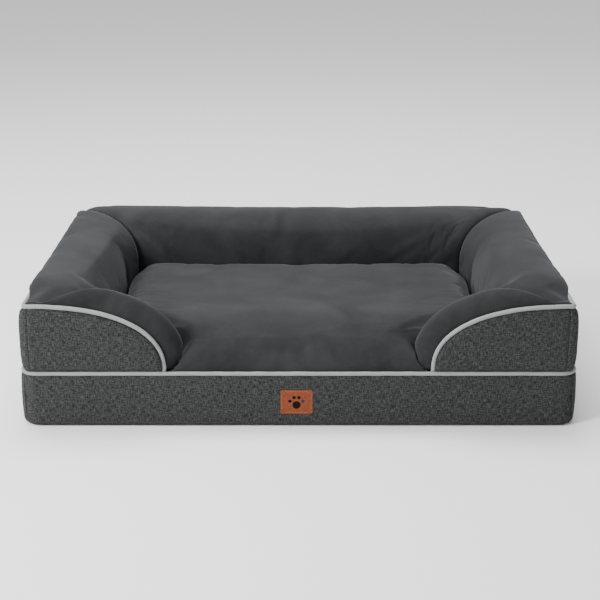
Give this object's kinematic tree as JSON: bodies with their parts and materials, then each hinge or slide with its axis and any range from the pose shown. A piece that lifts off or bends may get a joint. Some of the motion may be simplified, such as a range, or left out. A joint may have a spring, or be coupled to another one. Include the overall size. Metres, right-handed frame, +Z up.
{
  "type": "dog bed",
  "caption": "Sofa-style dog bed: a zipped foam base with piped edges, a stuffed bolster forming both arms and the back, and an open front.",
  "frame": {"origin": "on the floor, under the middle of the base", "axes": "+Z up, +X to the right as seen from the open front, and the open front faces -Y"},
  "size_m": [0.762, 0.515, 0.1864],
  "materials": {
    "charcoal_linen": "coarse heathered weave",
    "grey_velour": "short soft pile",
    "light_piping": "woven cord",
    "underside_fabric": "coarse non-woven with grip dots",
    "bolster_base_fabric": "non-woven",
    "foam": "open-cell polyurethane foam",
    "fibre_fill": "loose polyester fibre",
    "liner_film": "thin waterproof film",
    "zip_tape": "woven tape",
    "zip_coil": "nylon coil",
    "zip_metal": "dark plated",
    "label_leather": "matt embossed",
    "label_print": "pressed dark motif",
    "label_thread": "sewing thread",
    "care_label": "satin ribbon"
  },
  "bodies": {
    "bed": {"base_bottom_panel": "underside_fabric", "base_front_wall": "charcoal_linen", "base_left_wall": "charcoal_linen", "base_right_wall": "charcoal_linen", "base_back_wall": "charcoal_linen", "base_piping_cord": "light_piping", "sleeping_panel": "grey_velour", "top_wadding": "fibre_fill", "foam_core": "foam", "liner_upper": "liner_film", "liner_lower": "liner_film", "base_zip_tapes": "zip_tape", "base_zip_coils": "zip_coil", "base_zip_stops": "zip_metal", "label_patch": "label_leather", "label_motif": "label_print", "label_stitches": "label_thread", "care_tag": "care_label", "bolster_bottom_panel": "bolster_base_fabric", "left_arm_cover": "grey_velour", "left_arm_side": "charcoal_linen", "left_arm_end": "charcoal_linen", "left_arm_fill": "fibre_fill", "right_arm_cover": "grey_velour", "right_arm_side": "charcoal_linen", "right_arm_end": "charcoal_linen", "right_arm_fill": "fibre_fill", "back_bolster_cover": "grey_velour", "back_bolster_side": "charcoal_linen", "back_bolster_fill": "fibre_fill", "bolster_piping_cord": "light_piping", "bolster_zip_tapes": "zip_tape", "bolster_zip_coils": "zip_coil", "bolster_zip_stops": "zip_metal"},
    "base_zip_slider": {"base_zip_slider": "zip_metal"},
    "base_zip_pull": {"base_zip_pull": "zip_metal"},
    "bolster_zip_slider": {"bolster_zip_slider": "zip_metal"},
    "bolster_zip_pull": {"bolster_zip_pull": "zip_metal"}
  },
  "joints": [
    {"name": "base_zip_slide", "type": "slide", "parent": "bed", "child": "base_zip_slider", "axis": [-1, 0, 0], "range_m": [0, 0.618]},
    {"name": "base_zip_pull_swing", "type": "hinge", "parent": "base_zip_slider", "child": "base_zip_pull", "pos_m": [0.309, 0.2564, 0.04125], "axis": [0, 0, 1], "range_deg": [0, 180]},
    {"name": "bolster_zip_slide", "type": "slide", "parent": "bed", "child": "bolster_zip_slider", "axis": [-1, 0, 0], "range_m": [0, 0.498]},
    {"name": "bolster_zip_pull_swing", "type": "hinge", "parent": "bolster_zip_slider", "child": "bolster_zip_pull", "pos_m": [0.249, 0.2534, 0.098], "axis": [0, 0, 1], "range_deg": [0, 180]}
  ]
}
